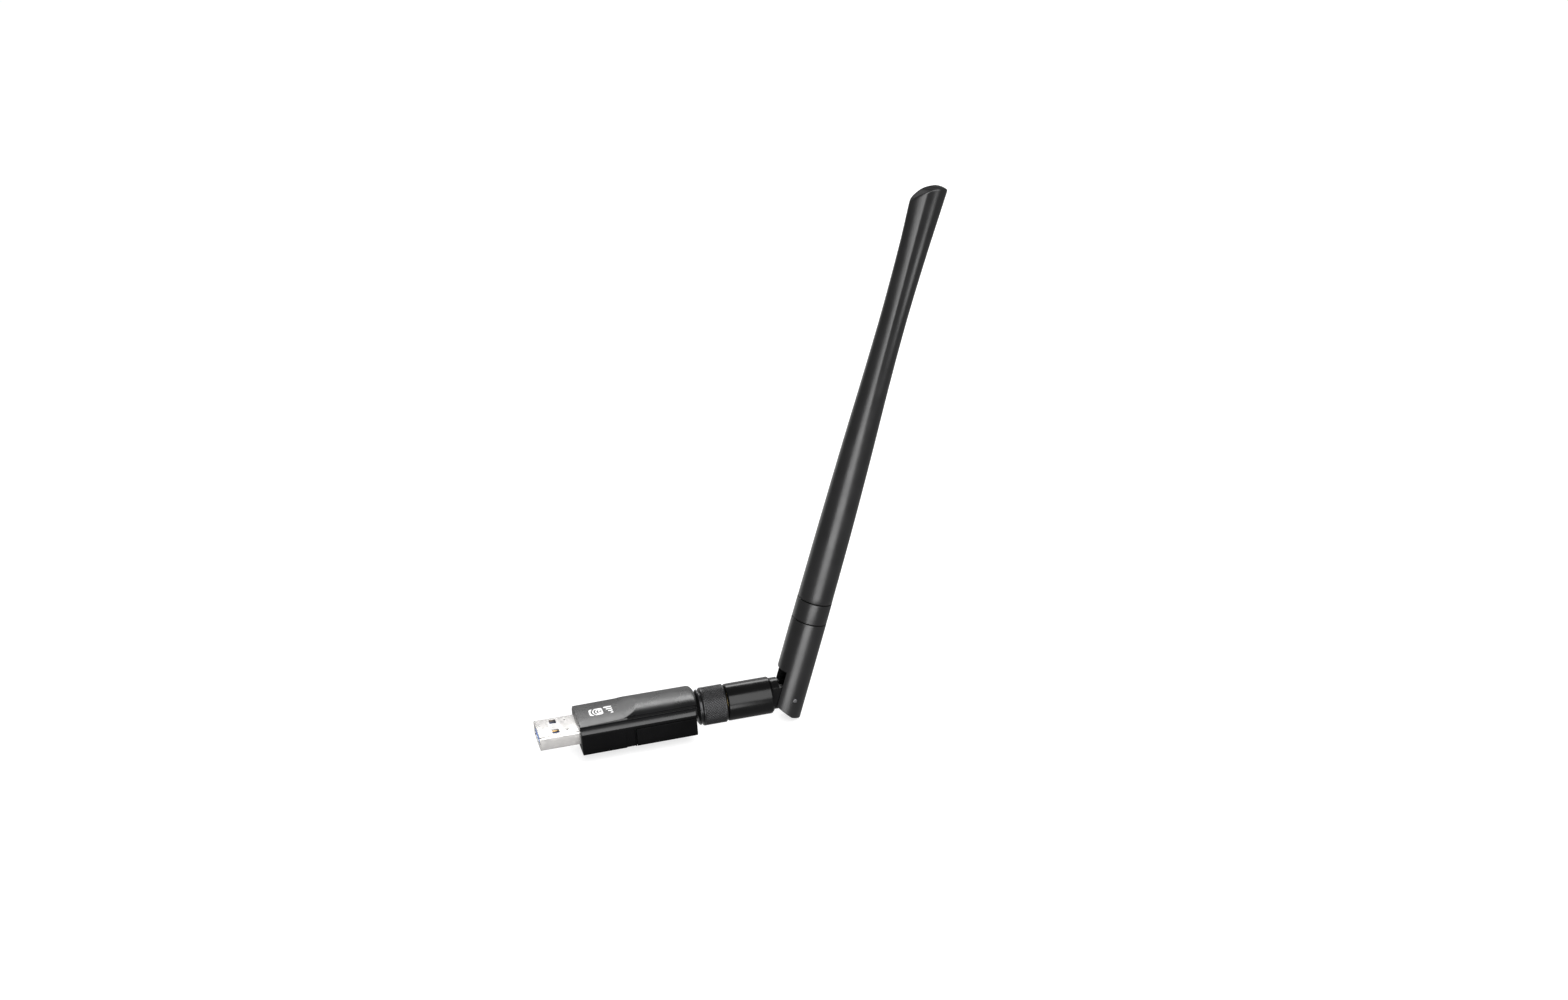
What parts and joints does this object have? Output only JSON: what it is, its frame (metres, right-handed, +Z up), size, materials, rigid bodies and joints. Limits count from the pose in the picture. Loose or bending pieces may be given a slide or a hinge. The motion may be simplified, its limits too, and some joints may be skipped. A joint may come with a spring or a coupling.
{
  "type": "usb wifi adapter",
  "caption": "Plug-in wireless network adapter: slim black housing with a rectangular data plug, a screw-on connector with a swivel, and a long hinged paddle antenna.",
  "frame": {"origin": "on the plug's axis, in the plane of the housing's nose face", "axes": "+X from the plug towards the antenna, along the plug; +Z up, out of the housing's crowned top; +Y across the housing"},
  "size_m": [0.1367, 0.018, 0.1629],
  "materials": {
    "case_plastic": "satin black moulded plastic",
    "antenna_plastic": "fine-grained black moulded plastic",
    "plug_nickel": "nickel-plated stamped steel",
    "black_metal": "black plated, knurled",
    "contact_gold": "gold-plated",
    "brass": "turned",
    "blue_plastic": "moulded",
    "white_insulator": "white insulator",
    "board_green": "solder-masked laminate",
    "chip_black": "moulded package",
    "ceramic": "fired ceramic",
    "gasket_rubber": "silicone",
    "cable_jacket": "cable jacket",
    "steel": "bright"
  },
  "bodies": {
    "adapter": {"upper_cover": "case_plastic", "lower_case": "case_plastic", "usb_shell": "plug_nickel", "usb_tongue": "blue_plastic", "usb_rear_block": "blue_plastic", "usb_contact_1": "contact_gold", "usb_contact_2": "contact_gold", "usb_contact_3": "contact_gold", "usb_contact_4": "contact_gold", "usb3_contact_1": "contact_gold", "usb3_contact_2": "contact_gold", "usb3_contact_3": "contact_gold", "usb3_contact_4": "contact_gold", "usb3_contact_5": "contact_gold", "circuit_board": "board_green", "wifi_chip": "chip_black", "frontend_chip": "chip_black", "rf_shield": "steel", "crystal": "steel", "regulator": "chip_black", "inductor": "chip_black", "capacitor_1": "ceramic", "capacitor_2": "ceramic", "capacitor_3": "ceramic", "jack_body": "black_metal", "jack_insulator": "white_insulator", "jack_center_pin": "contact_gold"},
    "connector": {"plug_ferrule": "brass", "plug_insulator": "white_insulator", "plug_socket": "contact_gold", "sealing_gasket": "gasket_rubber"},
    "nut": {"coupling_nut": "black_metal", "snap_ring": "steel"},
    "barrel": {"swivel_barrel": "antenna_plastic", "swivel_clip": "steel", "feed_cable_lower": "cable_jacket"},
    "mast": {"antenna_fork": "antenna_plastic", "radome_collar": "antenna_plastic", "radome": "antenna_plastic", "hinge_pin_near": "steel", "hinge_pin_far": "steel", "feed_cable_upper": "cable_jacket", "ground_sleeve": "brass", "radiator_strip": "board_green"}
  },
  "joints": [
    {"name": "connector_slide", "type": "slide", "parent": "adapter", "child": "connector", "axis": [1, 0, 0], "range_m": [0, 0.0053]},
    {"name": "nut_spin", "type": "hinge", "parent": "connector", "child": "nut", "pos_m": [0.041, 0, 0.00026], "axis": [1, 0, 0], "range_deg": [0, 2700]},
    {"name": "barrel_swivel", "type": "hinge", "parent": "connector", "child": "barrel", "pos_m": [0.053, 0, 0.00026], "axis": [1, 0, 0], "continuous": true},
    {"name": "mast_tilt", "type": "hinge", "parent": "barrel", "child": "mast", "pos_m": [0.0672, 0, -0.00074], "axis": [0, -1, 0], "range_deg": [-71, 19]}
  ],
  "couplings": [
    {"joint": "connector_slide", "follows": "nut_spin", "m_per_rad": 0.0001123}
  ]
}
